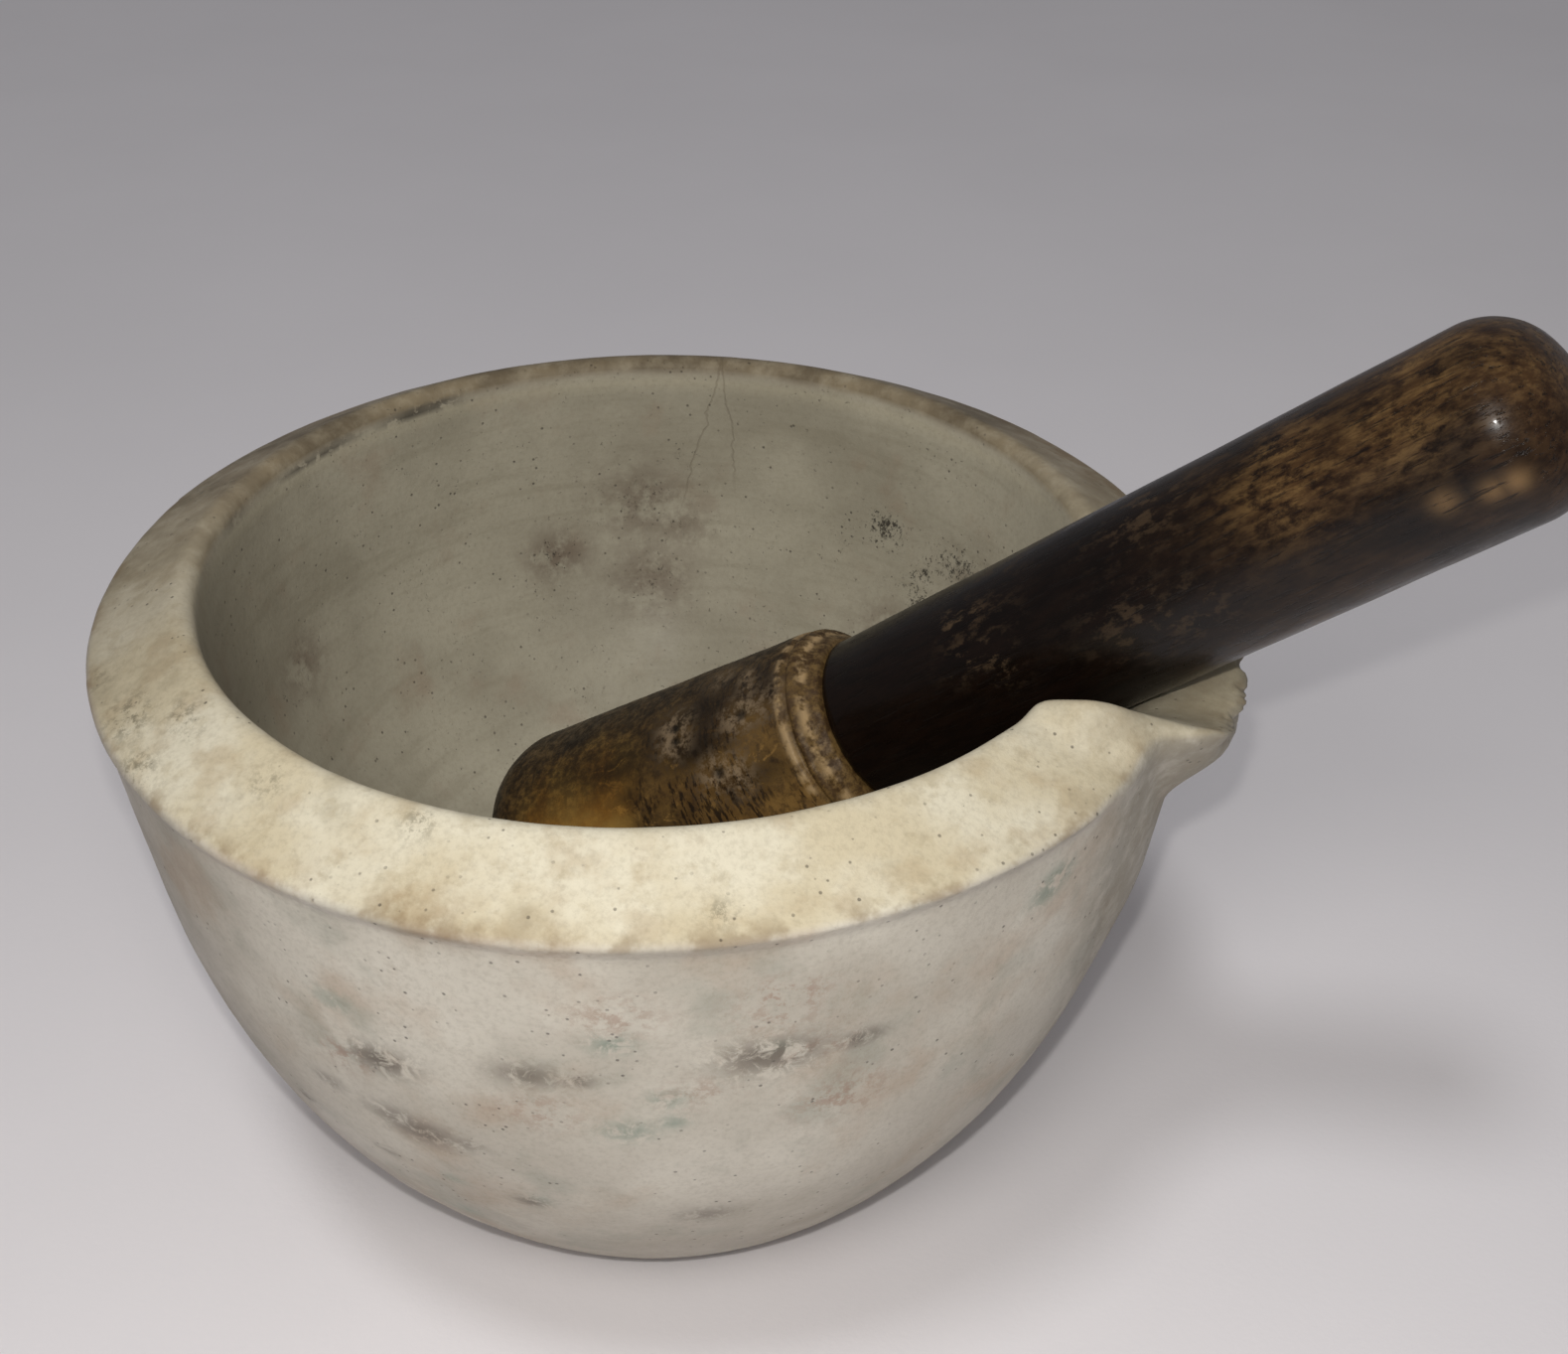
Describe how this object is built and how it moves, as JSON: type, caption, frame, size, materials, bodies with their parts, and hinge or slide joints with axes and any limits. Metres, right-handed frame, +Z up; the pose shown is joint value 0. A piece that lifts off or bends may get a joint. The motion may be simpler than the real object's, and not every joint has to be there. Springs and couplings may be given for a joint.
{
  "type": "mortar and pestle",
  "caption": "Deep round-bottomed grinding bowl with a bevelled rim and a raised pouring spout, holding a loose pestle with a ceramic head and a turned wooden handle.",
  "frame": {"origin": "centre of the mortar's flat foot, on the surface it stands on", "axes": "+Z up out of the bowl; +X out through the pouring spout, which is also the way the pestle leans; +Y to the left when looking out through the spout"},
  "size_m": [0.2533, 0.2, 0.1889],
  "materials": {
    "mortar_stoneware": "matt vitrified stoneware, stained",
    "head_stoneware": "satin, heavily stained stoneware",
    "handle_wood": "satin, worn polish",
    "cement": "matt"
  },
  "bodies": {
    "mortar": {"mortar": "mortar_stoneware"},
    "pestle": {"pestle_head": "head_stoneware", "pestle_handle": "handle_wood", "handle_cement": "cement"}
  },
  "joints": [
    {"name": "pestle_lift", "type": "slide", "parent": "mortar", "child": "pestle", "axis": [0, 0, 1], "range_m": [0, 0.16]}
  ]
}
